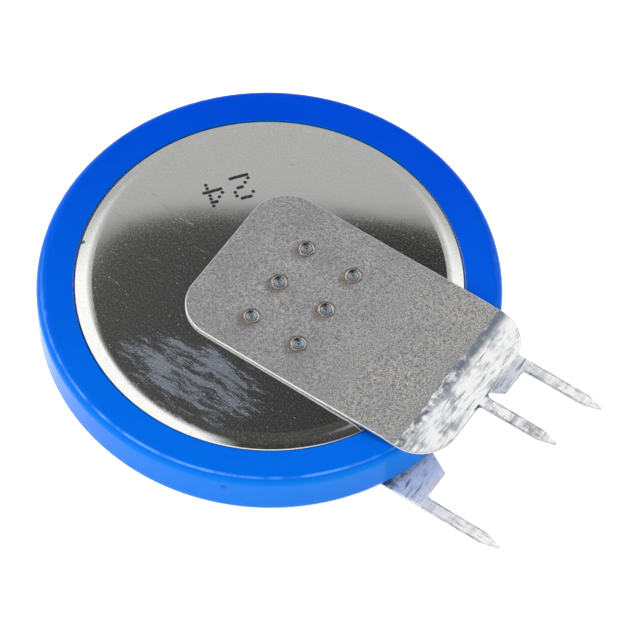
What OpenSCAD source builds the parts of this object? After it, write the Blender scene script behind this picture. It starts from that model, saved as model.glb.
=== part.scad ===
// Lithium coin cell with three solder pins and an insulating sleeve.
// The cell lies flat: its axis is Z, the pins point along +X, and z = 0 is the
// underside of the positive tab where it is welded to the can, on the axis.

/* [Cell] */
// Outer diameter of the can
cell_d = 24.5; // [23:0.1:27]
// Height of the cell over can and cap
cell_h = 3; // [2.8:0.05:4]
// Thickness of the can's steel sheet
can_t = 0.25; // [0.2:0.01:0.3]
// Outer radius of the bend at the foot of the can
can_corner_r = 0.5; // [0.4:0.05:0.8]

/* [Crimp] */
// Height of the cap's face above the can's rim
rim_drop = 0.15; // [0.1:0.01:0.3]
// Outer radius of the bend at the can's rim
rim_r = 0.35; // [0.32:0.01:0.5]
// Width of the lip that is folded in over the seal, from the can's wall
lip_w = 1.5; // [1.2:0.05:1.8]
// Angle at which the lip falls towards the axis
lip_fall = 9.5; // [4:0.5:12]

/* [Seal] */
// Thickness of the gasket between can and cap
gasket_t = 0.35; // [0.25:0.01:0.45]
// Width of the gasket's foot on the can's floor
gasket_foot_w = 1.4; // [1.1:0.05:1.6]
// Width of the gasket's collar between the lip and the cap's neck
collar_w = 0.27; // [0.2:0.01:0.35]

/* [Cap] */
// Thickness of the cap's steel sheet
cap_t = 0.2; // [0.15:0.01:0.22]
// Width of the rounded edge of the cap's face, from the flat to the neck
face_edge_w = 1; // [0.6:0.05:1.2]
// Radius at which that edge falls away from the flat
crown_r = 2; // [1.5:0.1:3]
// Outer radius of the tighter bend that turns the edge down into the neck
shoulder_r = 0.25; // [0.23:0.01:0.4]
// Step by which that bend stands past tangent, so that it meets the crown in a fine crease
edge_crease = 0.001; // [0.001:0.001:0.005]
// Depth of the cap's step below its face
step_drop = 0.95; // [0.85:0.01:1.05]
// Outer radius of the bend from the step down to the skirt
step_r = 0.35; // [0.32:0.01:0.5]
// Radius of the hollow bend from the neck out to the step
neck_bend_r = 0.15; // [0.05:0.01:0.2]

/* [Electrodes] */
// Thickness of the lithium disc
lithium_h = 0.6; // [0.4:0.05:0.75]
// Thickness of the separator
separator_t = 0.15; // [0.1:0.01:0.2]
// Thickness of the collector disc under the cathode
collector_t = 0.1; // [0.05:0.01:0.2]
// Gap between the separator's edge and the cap's neck
separator_gap = 0.1; // [0.05:0.01:0.3]
// Gap between the cathode's edge and the cap's neck
cathode_gap = 0.3; // [0.2:0.05:0.6]
// Gap between the lithium disc's edge and the start of the cap's rounded edge
lithium_gap = 0.1; // [0.05:0.05:0.5]

/* [Sleeve] */
// Thickness of the sleeve's film
sleeve_t = 0.2; // [0.1:0.01:0.25]
// Gap between the edge of the sleeve's openings and the cap's neck
sleeve_edge_gap = 0.02; // [0.02:0.01:0.3]

/* [Tabs] */
// Thickness of the tabs' steel strip
tab_t = 0.2; // [0.15:0.01:0.3]
// Width of the negative tab
tab_w = 10.15; // [9:0.05:11]
// Sideways offset of the negative tab's body from its pin
tab_offset = 0.2; // [0:0.05:0.3]
// Reach of both tabs behind the axis
tab_back = 3.15; // [2.5:0.05:5]
// Radius of the tabs' corners
tab_corner_r = 2.2; // [0.5:0.1:2.5]
// Reach of the negative tab's body past the can
negative_overhang = 1.25; // [0.8:0.05:2.5]
// Reach of the positive tab's shoulders past the can
positive_overhang = 1.05; // [0.8:0.05:2.5]
// Length of the tabs' flat pads past the last row of weld spots
pad_margin = 1.6; // [0.8:0.1:2]
// Length over which a tab steps out to clear the sleeve
joggle_run = 2.4; // [1.5:0.1:2.8]
// Clearance between a tab and the sleeve
sleeve_gap = 0.02; // [0.01:0.01:0.1]

/* [Pins] */
// Distance between the two positive pins, centre to centre
pin_pitch = 10.16; // [9:0.02:11]
// Width of a pin
pin_w = 0.75; // [0.6:0.05:1]
// Reach of the pins' points past the can
pin_reach = 5.75; // [4.8:0.05:8]
// Length of a pin's point
point_l = 1; // [0.5:0.05:1.5]
// Width of a pin at its blunt end
point_w = 0.16; // [0.1:0.02:0.3]
// Radius of the hollow corners at a pin's root
root_r = 0.25; // [0.1:0.05:0.4]
// Width of the notch between the positive pins, at its mouth
notch_w = 5.9; // [5:0.1:7]
// Width of the notch at its bottom
notch_floor_w = 4.5; // [3:0.1:5]
// Depth of the notch
notch_depth = 1.3; // [0.6:0.1:2]

/* [Welds] */
// Distance of the first row of weld spots in front of the axis
weld_front = 0.6; // [0:0.1:1]
// Distance between the two rows of weld spots
weld_row = 3; // [2:0.1:3.4]
// Distance between the weld spots of a row
weld_pitch = 2.6; // [1.5:0.1:3.2]
// Outer diameter of a weld spot's raised rim
weld_d = 1; // [0.8:0.05:1.2]
// Depth of a weld spot's dish
weld_depth = 0.08; // [0.04:0.01:0.1]
// Height of a weld spot's raised rim
weld_rim_h = 0.05; // [0.03:0.01:0.06]

/* [Hidden] */
$fn = 96;
steel_colour = [0.72, 0.72, 0.71];
tab_colour = [0.6, 0.59, 0.57];
gasket_colour = [0.88, 0.88, 0.84];
collector_colour = [0.5, 0.5, 0.52];
cathode_colour = [0.13, 0.13, 0.13];
separator_colour = [0.95, 0.95, 0.93];
lithium_colour = [0.8, 0.8, 0.78];
sleeve_colour = [0.02, 0.36, 0.9];

// Past every face that a cut has to clear
over = 1;

// Heights of the pack
can_z = tab_t;
face_z = can_z + cell_h;

// Radii and heights of the closure, from the can's underside
can_r = cell_d / 2;
rim_z = cell_h - rim_drop;
lip_r = can_r - lip_w;
neck_r = lip_r - collar_w;
face_r = neck_r - face_edge_w;
skirt_r = can_r - can_t - gasket_t;
skirt_z = can_t + gasket_t;
step_z = cell_h - step_drop;
foot_r = can_r - can_t - gasket_foot_w;

// Radii and heights of the electrodes, from the can's underside
neck_inner_r = neck_r - cap_t;
separator_r = neck_inner_r - separator_gap;
cathode_r = neck_inner_r - cathode_gap;
lithium_r = face_r - lithium_gap;
lithium_z = cell_h - cap_t - lithium_h;
separator_z = lithium_z - separator_t;
cathode_z = can_t + collector_t;

// Places along the tabs
sleeve_hole_r = neck_r + sleeve_edge_gap;
negative_front = can_r + negative_overhang;
positive_front = can_r + positive_overhang;
pin_tip = can_r + pin_reach;
positive_w = pin_pitch + pin_w;
pad_front = weld_front + weld_row + pad_margin;
negative_lift = max(0, sleeve_t + sleeve_gap - rim_drop);
positive_drop = sleeve_t + sleeve_gap;

// A weld spot's rim is a bead of this radius, sunk until only its crest shows
weld_bead_r = 0.1;
weld_crest_r = weld_d / 2 - weld_bead_r;
weld_dish_r = weld_crest_r - weld_bead_r / 2;

// The crown in the middle of the dish, sunk so that it is one piece with it
weld_nub_r = 0.14;
weld_nub_top_r = 0.07;
weld_nub_h = 0.04;
weld_nub_sunk = 0.02;

// Section of all that lies inside the can's outer face, moved in by inset. The wall
// bends over a quarter turn to the rim, and the lip falls from there to the cap's face.
module can_fill(inset) {
    foot_bend = [can_r - can_corner_r, can_corner_r];
    rim_bend = [can_r - rim_r, rim_z - rim_r];
    lip_end_z = rim_z - inset - (rim_bend.x - face_r) * tan(lip_fall);
    translate(foot_bend) circle(can_corner_r - inset);
    intersection() {
        translate(rim_bend) circle(rim_r - inset);
        translate(rim_bend) square(rim_r - inset);
    }
    polygon([
        [0, inset],
        [foot_bend.x, inset],
        [can_r - inset, foot_bend.y],
        [can_r - inset, rim_bend.y],
        [rim_bend.x, rim_z - inset],
        [face_r, lip_end_z],
        [0, lip_end_z]
    ]);
}

// Section of all that lies under the cap's outer face, moved in by inset. The flat face
// rounds off along a wide crown, and the tight shoulder cuts that short before the neck.
module cap_fill(inset, floor_z) {
    crown_bend = [face_r, cell_h - crown_r];
    bends_apart = crown_r - shoulder_r + edge_crease;
    crown_fall = asin((face_edge_w - shoulder_r) / bends_apart);
    shoulder_bend = crown_bend + bends_apart * [sin(crown_fall), cos(crown_fall)];
    crown_end_r = face_r + (crown_r - inset) * sin(crown_fall);
    neck_bend = [neck_r + neck_bend_r, step_z + neck_bend_r];
    step_bend = [skirt_r - step_r, step_z - step_r];
    intersection() {
        translate(crown_bend) circle(crown_r - inset);
        union() {
            translate([face_r, shoulder_bend.y]) square([crown_end_r - face_r, crown_r]);
            translate(shoulder_bend) circle(shoulder_r - inset);
        }
    }
    translate(step_bend) circle(step_r - inset);
    difference() {
        polygon([
            [0, floor_z],
            [skirt_r - inset, floor_z],
            [skirt_r - inset, step_bend.y],
            [step_bend.x, step_z - inset],
            [neck_bend.x, step_z - inset],
            [neck_r - inset, neck_bend.y],
            [neck_r - inset, shoulder_bend.y],
            [face_r, shoulder_bend.y],
            [face_r, cell_h - inset],
            [0, cell_h - inset]
        ]);
        translate(neck_bend) circle(neck_bend_r + inset);
    }
}

// Section of everything within a radius and above a height
module core(radius, bottom_z) {
    translate([-over, bottom_z]) square([radius + over, cell_h + 2 * over]);
}

module positive_can() {
    color(steel_colour) translate([0, 0, can_z]) rotate_extrude() difference() {
        can_fill(0);
        can_fill(can_t);
        core(lip_r, skirt_z);
    }
}

module gasket() {
    color(gasket_colour) translate([0, 0, can_z]) rotate_extrude() difference() {
        union() {
            can_fill(can_t);
            intersection() {
                can_fill(0);
                translate([0, step_z]) square([lip_r, cell_h]);
            }
        }
        cap_fill(0, skirt_z);
        translate([-over, -over]) square([foot_r + over, skirt_z + over]);
    }
}

module negative_cap() {
    color(steel_colour) translate([0, 0, can_z]) rotate_extrude() difference() {
        cap_fill(0, skirt_z);
        cap_fill(cap_t, skirt_z - over);
    }
}

module disc(bottom_z, height, radius) {
    translate([0, 0, can_z + bottom_z]) cylinder(h = height, r = radius);
}

module cathode_collector() {
    color(collector_colour) disc(can_t, collector_t, cathode_r);
}

module cathode_pellet() {
    color(cathode_colour) disc(cathode_z, separator_z - cathode_z, cathode_r);
}

module separator() {
    color(separator_colour) disc(separator_z, separator_t, separator_r);
}

module lithium_disc() {
    color(lithium_colour) disc(lithium_z, lithium_h, lithium_r);
}

module insulating_sleeve() {
    color(sleeve_colour) translate([0, 0, can_z]) rotate_extrude() difference() {
        can_fill(-sleeve_t);
        can_fill(0);
        core(sleeve_hole_r, -over);
    }
}

// Outline of a tab's body, with its corners rounded behind and, if asked, in front
module body_outline(front, width, round_front) {
    r = tab_corner_r;
    front_bend = round_front ? front - r : front;
    translate([r - tab_back, -width / 2]) square([front_bend + tab_back - r, width]);
    translate([-tab_back, r - width / 2]) square([front + tab_back, width - 2 * r]);
    for (side = [-1, 1]) {
        translate([r - tab_back, side * (width / 2 - r)]) circle(r);
        if (round_front) translate([front_bend, side * (width / 2 - r)]) circle(r);
    }
}

// Outline of one pin along +X, from inside the tab's body to its point
module pin_outline(front) {
    neck = pin_tip - point_l;
    polygon([
        [front - over, -pin_w / 2],
        [neck, -pin_w / 2],
        [pin_tip, -point_w / 2],
        [pin_tip, point_w / 2],
        [neck, pin_w / 2],
        [front - over, pin_w / 2]
    ]);
}

// Hollow corner between the tab's front edge and the side of a pin
module root_corner() {
    difference() {
        square(root_r);
        translate([root_r, root_r]) circle(root_r);
    }
}

module negative_outline() {
    translate([0, tab_offset]) body_outline(negative_front, tab_w, true);
    pin_outline(negative_front);
    for (side = [0, 1]) {
        mirror([0, side]) translate([negative_front, pin_w / 2]) root_corner();
    }
}

module positive_outline() {
    inner_y = (pin_pitch - pin_w) / 2;
    difference() {
        body_outline(positive_front, positive_w, false);
        polygon([
            [positive_front - notch_depth, -notch_floor_w / 2],
            [positive_front, -notch_w / 2],
            [positive_front + over, -notch_w / 2],
            [positive_front + over, notch_w / 2],
            [positive_front, notch_w / 2],
            [positive_front - notch_depth, notch_floor_w / 2]
        ]);
    }
    for (side = [0, 1]) {
        mirror([0, side]) {
            translate([0, pin_pitch / 2]) pin_outline(positive_front);
            translate([positive_front, inner_y]) mirror([0, 1]) root_corner();
        }
    }
}

// A strip whose pad lies on z = 0 and whose front end is raised by lift
module strip(lift) {
    ramp_end = pad_front + joggle_run;
    rotate([90, 0, 0]) linear_extrude(2 * positive_w, center = true) polygon([
        [-tab_back - over, 0],
        [pad_front, 0],
        [ramp_end, lift],
        [pin_tip + over, lift],
        [pin_tip + over, lift + tab_t],
        [ramp_end, lift + tab_t],
        [pad_front, tab_t],
        [-tab_back - over, tab_t]
    ]);
}

module at_welds() {
    for (row = [0, 1], place = [-1, 0, 1]) {
        translate([weld_front + row * weld_row, place * weld_pitch, tab_t]) children();
    }
}

// Bead of metal pushed up round a weld spot
module weld_rim() {
    rotate_extrude() translate([weld_crest_r, weld_rim_h - weld_bead_r]) circle(weld_bead_r, $fn = 32);
}

// Round hollow that the electrode leaves inside the rim
module weld_dish() {
    ball_r = (weld_dish_r * weld_dish_r + weld_depth * weld_depth) / (2 * weld_depth);
    translate([0, 0, ball_r - weld_depth]) sphere(ball_r);
}

// Small crown of metal in the middle of the hollow
module weld_nub() {
    translate([0, 0, -weld_depth - weld_nub_sunk]) {
        cylinder(h = weld_nub_h + weld_nub_sunk, r1 = weld_nub_r, r2 = weld_nub_top_r);
    }
}

// A tab with its pad on z = 0, its front raised by lift and its welds on top
module tab(lift) {
    difference() {
        union() {
            intersection() {
                translate([0, 0, -over]) linear_extrude(tab_t + 2 * over) children();
                strip(lift);
            }
            at_welds() weld_rim();
        }
        at_welds() weld_dish();
    }
    at_welds() weld_nub();
}

module negative_tab() {
    color(tab_colour) translate([0, 0, face_z]) tab(negative_lift) negative_outline();
}

module positive_tab() {
    color(tab_colour) translate([0, 0, can_z]) mirror([0, 0, 1]) tab(positive_drop) positive_outline();
}

positive_can();
gasket();
negative_cap();
cathode_collector();
cathode_pellet();
separator();
lithium_disc();
insulating_sleeve();
negative_tab();
positive_tab();
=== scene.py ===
# %% [markdown]
# # A lithium coin cell with solder tabs
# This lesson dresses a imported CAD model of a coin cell: a flat round battery with a
# blue shrunk sleeve, and two steel tabs welded on so that it can be soldered to a
# board. The CAD model gives every size. Blender adds what a drawing leaves out: the
# worn polish of the cap, the grain of the strip, the solder on the pins and the ink.

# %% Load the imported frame
import math

import bmesh
import bpy
from mathutils import Matrix, Quaternion, Vector, noise


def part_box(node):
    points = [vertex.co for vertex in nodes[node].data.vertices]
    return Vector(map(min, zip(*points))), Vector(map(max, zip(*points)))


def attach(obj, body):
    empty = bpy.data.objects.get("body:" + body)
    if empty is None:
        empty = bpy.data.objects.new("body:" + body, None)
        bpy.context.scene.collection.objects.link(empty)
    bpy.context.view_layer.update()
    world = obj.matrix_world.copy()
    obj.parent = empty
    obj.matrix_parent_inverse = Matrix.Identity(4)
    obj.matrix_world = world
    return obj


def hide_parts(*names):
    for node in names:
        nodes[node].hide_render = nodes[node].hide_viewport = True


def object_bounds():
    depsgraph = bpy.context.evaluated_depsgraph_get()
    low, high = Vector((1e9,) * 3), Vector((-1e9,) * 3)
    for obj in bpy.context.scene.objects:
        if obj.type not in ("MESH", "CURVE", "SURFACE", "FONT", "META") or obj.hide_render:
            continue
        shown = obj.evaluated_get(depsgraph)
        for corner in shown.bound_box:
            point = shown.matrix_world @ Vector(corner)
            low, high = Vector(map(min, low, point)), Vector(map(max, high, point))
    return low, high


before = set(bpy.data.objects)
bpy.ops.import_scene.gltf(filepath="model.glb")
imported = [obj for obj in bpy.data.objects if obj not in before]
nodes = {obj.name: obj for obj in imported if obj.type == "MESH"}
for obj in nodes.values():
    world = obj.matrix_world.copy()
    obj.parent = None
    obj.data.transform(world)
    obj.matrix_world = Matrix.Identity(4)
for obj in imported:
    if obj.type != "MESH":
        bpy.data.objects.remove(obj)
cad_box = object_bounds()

MM = 0.001
print("CAD nodes:", ", ".join(sorted(nodes)))
print("CAD box in mm:", [[round(c / MM, 3) for c in corner] for corner in cad_box])

# %% [markdown]
# ## The camera
# The picture was taken from well above with a long lens, so parallel lines stay
# almost parallel. The place, the aim and the small roll below were worked out from
# the ellipses of the cell's edges and the ends of its tabs.

# %% Camera
CAMERA_PLACE = Vector((55.339, -84.173, 160.204)) * MM
CAMERA_AIM = Vector((2.589, 1.089, 0.0)) * MM
CAMERA_ROLL = math.radians(2.69)
LENS_MM = 196.875

camera_data = bpy.data.cameras.new("camera")
camera_data.lens = LENS_MM
camera_data.clip_start = 1 * MM
camera_data.clip_end = 20
camera = bpy.data.objects.new("camera", camera_data)
camera.location = CAMERA_PLACE
camera.rotation_mode = "QUATERNION"
look = (CAMERA_AIM - CAMERA_PLACE).to_track_quat("-Z", "Y")
camera.rotation_quaternion = look @ Quaternion((0, 0, 1), CAMERA_ROLL)
bpy.context.scene.collection.objects.link(camera)
bpy.context.scene.camera = camera
bpy.context.scene.view_settings.view_transform = "Standard"
print("camera is", round((CAMERA_AIM - CAMERA_PLACE).length / MM), "mm from its aim")

# %% [markdown]
# ## Helpers for materials
# Colours are written as sRGB hex values, as a colour picker shows them, and Blender
# calculates in linear light, so one function converts them. Another adds a node with
# its settings and its links in one call, which keeps each material readable. A third
# starts an empty material, and the last turns the real width of a pattern into the
# Scale that a texture node asks for.

# %% Material helpers


def linear(hex_colour):
    """Turns an sRGB hex colour such as "8A8F94" into linear red, green, blue, alpha."""
    channels = [int(hex_colour[i:i + 2], 16) / 255 for i in (0, 2, 4)]
    bent = [c / 12.92 if c <= 0.04045 else ((c + 0.055) / 1.055) ** 2.4 for c in channels]
    return bent + [1.0]


def add(tree, kind, inputs=None, **settings):
    """Adds a node. A value for an input is a number, a colour or another node's output."""
    node = tree.nodes.new(kind)
    for name, value in settings.items():
        setattr(node, name, value)
    for name, value in (inputs or {}).items():
        if isinstance(value, bpy.types.NodeSocket):
            tree.links.new(value, node.inputs[name])
        else:
            node.inputs[name].default_value = value
    return node


def new_material(name):
    """An empty material with its node tree, its output and its Principled shader."""
    material = bpy.data.materials.new(name)
    material.use_nodes = True
    tree = material.node_tree
    tree.nodes.clear()
    shader = add(tree, "ShaderNodeBsdfPrincipled")
    add(tree, "ShaderNodeOutputMaterial", {"Surface": shader.outputs["BSDF"]})
    return material, tree, shader


def per_mm(size):
    """The Scale of a texture whose features are size millimetres wide."""
    return 1 / (size * MM)


print("middle grey in linear light:", [round(c, 3) for c in linear("808080")])

# %% [markdown]
# ## Polished cap
# The cap is pressed from nickel-plated steel and rolled smooth, so it mirrors the
# room. Handling leaves it hazy. A picture of scratches could be laid over it, but
# noise textures give the same marks at any distance and need no file. Each kind of
# mark is a mask from 0 to 1: first the haze, then a rubbed patch of combed smears,
# then hairlines and dust. At the end the masks set roughness, metal and colour.

# %% Haze of the rolled steel
GRAIN_W = 0.1
cap_steel, tree, shader = new_material("nickel_plated_steel_polished")
place = add(tree, "ShaderNodeTexCoord").outputs["Object"]
grain = add(tree, "ShaderNodeTexNoise", {
    "Vector": place, "Scale": per_mm(GRAIN_W), "Detail": 2.0,
})
haze = add(tree, "ShaderNodeMapRange", {
    "Value": grain.outputs["Fac"],
    "From Min": 0.3, "From Max": 0.75, "To Min": 0.04, "To Max": 0.08,
})
print("haze in grains", GRAIN_W, "mm wide")

# %% Combed smears
# Smears with torn edges and thin gaps: noise that is drawn out five times along one
# direction and bent by a second noise
SMEAR_W = 0.34
SMEAR_TURN = math.radians(-22)
BEND_W = 2.0
BEND_BY = 0.7 * MM
bend = add(tree, "ShaderNodeTexNoise", {
    "Vector": place, "Scale": per_mm(BEND_W), "Detail": 2.0,
})
bent_place = add(tree, "ShaderNodeVectorMath", {
    0: bend.outputs["Color"], 1: (BEND_BY, BEND_BY, 0), 2: place,
}, operation="MULTIPLY_ADD")
streak_place = add(tree, "ShaderNodeMapping", {
    "Vector": bent_place.outputs["Vector"],
    "Rotation": (0, 0, SMEAR_TURN), "Scale": (0.2, 1.0, 1.0),
})
streaks = add(tree, "ShaderNodeTexNoise", {
    "Vector": streak_place.outputs["Vector"],
    "Scale": per_mm(SMEAR_W), "Detail": 8.0, "Roughness": 0.66,
})
print("smears", SMEAR_W, "mm wide, turned by", round(math.degrees(SMEAR_TURN)), "degrees")

# %% The rubbed patch
# The smears only show inside an oval near the front of the cap
PATCH_CENTRE = Vector((0.426, -7.375))
PATCH_HALF = Vector((4.255, 2.5))
oval_place = add(tree, "ShaderNodeMapping", {
    "Vector": place,
    "Location": (-PATCH_CENTRE.x / PATCH_HALF.x, -PATCH_CENTRE.y / PATCH_HALF.y, 0),
    "Scale": (per_mm(PATCH_HALF.x), per_mm(PATCH_HALF.y), 0),
})
oval_length = add(tree, "ShaderNodeVectorMath", {
    0: oval_place.outputs["Vector"],
}, operation="LENGTH")
oval = add(tree, "ShaderNodeMapRange", {
    "Value": oval_length.outputs["Value"], "From Min": 1.25, "From Max": 0.55,
})
oval_and_streaks = add(tree, "ShaderNodeMath", {
    0: oval.outputs["Result"], 1: 0.28, 2: streaks.outputs["Fac"],
}, operation="MULTIPLY_ADD")
streak_sum = add(tree, "ShaderNodeMath", {
    0: grain.outputs["Fac"], 1: 0.18, 2: oval_and_streaks.outputs["Value"],
}, operation="MULTIPLY_ADD")
scuff = add(tree, "ShaderNodeMapRange", {
    "Value": streak_sum.outputs["Value"], "From Min": 0.735, "From Max": 0.89,
})
print("rubbed patch, mm:", [round(2 * half, 1) for half in PATCH_HALF])

# %% Hairlines
# Hairlines are drops of a cell texture drawn out thin, about 0.4 mm long and 0.03 mm
# wide. A second noise picks where they crowd together
HAIR_CELL = 0.35
HAIR_TURN = math.radians(62)
HAIR_CLUMP = 1.7
hair_place = add(tree, "ShaderNodeMapping", {
    "Vector": bent_place.outputs["Vector"],
    "Rotation": (0, 0, HAIR_TURN), "Scale": (0.08, 1.0, 1.0),
})
hair_cells = add(tree, "ShaderNodeTexVoronoi", {
    "Vector": hair_place.outputs["Vector"], "Scale": per_mm(HAIR_CELL),
})
hair_line = add(tree, "ShaderNodeMapRange", {
    "Value": hair_cells.outputs["Distance"], "From Min": 0.07, "From Max": 0.03,
})
hair_where = add(tree, "ShaderNodeTexNoise", {
    "Vector": place, "Scale": per_mm(HAIR_CLUMP), "Detail": 3.0,
})
hair_some = add(tree, "ShaderNodeMapRange", {
    "Value": hair_where.outputs["Fac"], "From Min": 0.54, "From Max": 0.66, "To Max": 0.8,
})
hair = add(tree, "ShaderNodeMath", {
    0: hair_line.outputs["Result"], 1: hair_some.outputs["Result"],
}, operation="MULTIPLY")
print("hairlines in cells", HAIR_CELL, "mm wide")

# %% Dust
# Specks of dust, about 0.05 mm across, aren't metal and so catch the light of the lamp.
# A thin film of dust covers the rest
SPECK_CELL = 0.35
speck_cells = add(tree, "ShaderNodeTexVoronoi", {
    "Vector": place, "Scale": per_mm(SPECK_CELL),
})
specks = add(tree, "ShaderNodeMapRange", {
    "Value": speck_cells.outputs["Distance"], "From Min": 0.11, "From Max": 0.04,
})
marks = add(tree, "ShaderNodeMath", {
    0: hair.outputs["Value"], 1: specks.outputs["Result"],
}, operation="MAXIMUM")
film_of_dust = add(tree, "ShaderNodeMapRange", {
    "Value": grain.outputs["Fac"], "From Min": 0.48, "From Max": 0.7, "To Max": 0.16,
})
dust = add(tree, "ShaderNodeMath", {
    0: marks.outputs["Value"], 1: film_of_dust.outputs["Result"],
}, operation="MAXIMUM")
print("specks in cells", SPECK_CELL, "mm wide")

# %% Roughness, metal and relief of the cap
WAVE_W = 4.0
rough_scuff = add(tree, "ShaderNodeMath", {
    0: scuff.outputs["Result"], 1: 0.2, 2: haze.outputs["Result"],
}, operation="MULTIPLY_ADD")
rough = add(tree, "ShaderNodeMath", {
    0: marks.outputs["Value"], 1: 0.16, 2: rough_scuff.outputs["Value"],
}, operation="MULTIPLY_ADD")
tree.links.new(rough.outputs["Value"], shader.inputs["Roughness"])
dusty = add(tree, "ShaderNodeMapRange", {
    "Value": dust.outputs["Value"], "To Min": 1.0, "To Max": 0.65,
})
tree.links.new(dusty.outputs["Result"], shader.inputs["Metallic"])

# Slow waves of the pressed sheet bend the mirrored edges a little
waves = add(tree, "ShaderNodeTexNoise", {
    "Vector": place, "Scale": per_mm(WAVE_W), "Detail": 2.0,
})
wave_bump = add(tree, "ShaderNodeBump", {
    "Height": waves.outputs["Fac"], "Strength": 1.0, "Distance": 0.004 * MM,
})
scuff_bump = add(tree, "ShaderNodeBump", {
    "Height": scuff.outputs["Result"], "Strength": 0.1, "Distance": 0.01 * MM,
    "Normal": wave_bump.outputs["Normal"],
})
tree.links.new(scuff_bump.outputs["Normal"], shader.inputs["Normal"])
print("waves", WAVE_W, "mm long")

# %% Colour of the cap
STAIN_AT = Vector((-9.58, -3.72, 3.02))
STAIN_R = 0.12
STAIN_SOFT = 0.04


def nearest_point(tree, place, points):
    """The distance in metres from the nearest of some points, which are given in mm."""
    nearest = None
    for point in points:
        gap = add(tree, "ShaderNodeVectorMath", {
            0: place, 1: point * MM,
        }, operation="DISTANCE").outputs["Value"]
        if nearest is None:
            nearest = gap
        else:
            nearest = add(tree, "ShaderNodeMath", {
                0: nearest, 1: gap,
            }, operation="MINIMUM").outputs["Value"]
    return nearest


grain_tone = add(tree, "ShaderNodeMapRange", {
    "Value": grain.outputs["Fac"], "From Min": 0.3, "From Max": 0.7,
})
rolled = add(tree, "ShaderNodeMix", {
    "Factor": grain_tone.outputs["Result"], "A": linear("C3C3C1"), "B": linear("D1D1CF"),
}, data_type="RGBA")
marked = add(tree, "ShaderNodeMix", {
    "Factor": scuff.outputs["Result"], "A": rolled.outputs["Result"], "B": linear("BEC8D8"),
}, data_type="RGBA")
stain = add(tree, "ShaderNodeMapRange", {
    "Value": nearest_point(tree, place, [STAIN_AT]),
    "From Min": (STAIN_R + STAIN_SOFT) * MM, "From Max": (STAIN_R - STAIN_SOFT) * MM,
})
stained = add(tree, "ShaderNodeMix", {
    "Factor": stain.outputs["Result"], "A": marked.outputs["Result"], "B": linear("3A626C"),
}, data_type="RGBA")
tree.links.new(stained.outputs["Result"], shader.inputs["Base Color"])
print("made", cap_steel.name, "with", len(tree.nodes), "nodes")

# %% [markdown]
# ## Shrunk sleeve
# The sleeve is a tube of blue PVC film that was shrunk over the cell with hot air.
# Where it drew in over the edge it shows faint drag lines towards the middle. The top face is
# painted a deeper blue than the wall, as painted shade, and darker still on the far side; the wall
# is painted paler, as painted light. Two materials would leave a hard seam at the bend, so one
# material tells the face from the wall by the way that the surface leans.

# %% Blue of the film
SHADED_SIDE = Vector((-0.363, 0.932, 0))
CLOUD_W = 5.0
sleeve_film, tree, shader = new_material("pvc_film_heat_shrunk")
coordinates = add(tree, "ShaderNodeTexCoord")
place = coordinates.outputs["Object"]
shader.inputs["Roughness"].default_value = 0.2
shader.inputs["IOR"].default_value = 1.5

lean = add(tree, "ShaderNodeSeparateXYZ", {"Vector": coordinates.outputs["Normal"]})
top_face = add(tree, "ShaderNodeMapRange", {
    "Value": lean.outputs["Z"], "From Min": 0.35, "From Max": 0.95,
}, interpolation_type="SMOOTHSTEP")

# The top is painted darker on the side that lies far from the camera, as painted shade. The noise
# shifts that border by up to 8 mm
cloud = add(tree, "ShaderNodeTexNoise", {
    "Vector": place, "Scale": per_mm(CLOUD_W), "Detail": 3.0,
})
shaded_side = add(tree, "ShaderNodeVectorMath", {
    0: place, 1: SHADED_SIDE,
}, operation="DOT_PRODUCT")
cloudy_shaded_side = add(tree, "ShaderNodeMath", {
    0: cloud.outputs["Fac"], 1: 8 * MM, 2: shaded_side.outputs["Value"],
}, operation="MULTIPLY_ADD")
far_shade = add(tree, "ShaderNodeMapRange", {
    "Value": cloudy_shaded_side.outputs["Value"], "From Min": -8 * MM, "From Max": 14 * MM,
})
# Painted shade: the top face is drawn a deeper blue, darkest on the far side
shaded_top = add(tree, "ShaderNodeMix", {
    "Factor": far_shade.outputs["Result"], "A": linear("005FCE"), "B": linear("0040BC"),
}, data_type="RGBA")
# Painted light: the wall is drawn a paler blue, with random tone from the cloud
lit_wall = add(tree, "ShaderNodeMix", {
    "Factor": cloud.outputs["Fac"], "A": linear("006CD2"), "B": linear("0075D8"),
}, data_type="RGBA")
shaded_film_blue = add(tree, "ShaderNodeMix", {
    "Factor": top_face.outputs["Result"], "A": lit_wall.outputs["Result"], "B": shaded_top.outputs["Result"],
}, data_type="RGBA")
print("film darkest towards", [round(c, 2) for c in SHADED_SIDE])

# %% Worn and lit ridge
# A fine line along the outer bend is painted pale, as a painted highlight with some worn nicks, and
# made shiny. It lies where the surface leans by RIDGE_LEAN outside RIDGE_R, and it is strongest on
# the near side
RIDGE_R = 11.9
RIDGE_LEAN = 0.86
radius = add(tree, "ShaderNodeVectorMath", {0: place}, operation="LENGTH")
outer = add(tree, "ShaderNodeMapRange", {
    "Value": radius.outputs["Value"], "From Min": (RIDGE_R - 0.3) * MM, "From Max": RIDGE_R * MM,
})
ridge_off = add(tree, "ShaderNodeMath", {
    0: lean.outputs["Z"], 1: RIDGE_LEAN,
}, operation="SUBTRACT")
ridge_gap = add(tree, "ShaderNodeMath", {
    0: ridge_off.outputs["Value"],
}, operation="ABSOLUTE")
ridge_line = add(tree, "ShaderNodeMapRange", {
    "Value": ridge_gap.outputs["Value"], "From Min": 0.09, "From Max": 0.02,
})
print("ridge worn at a radius of", RIDGE_R, "mm")
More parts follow.
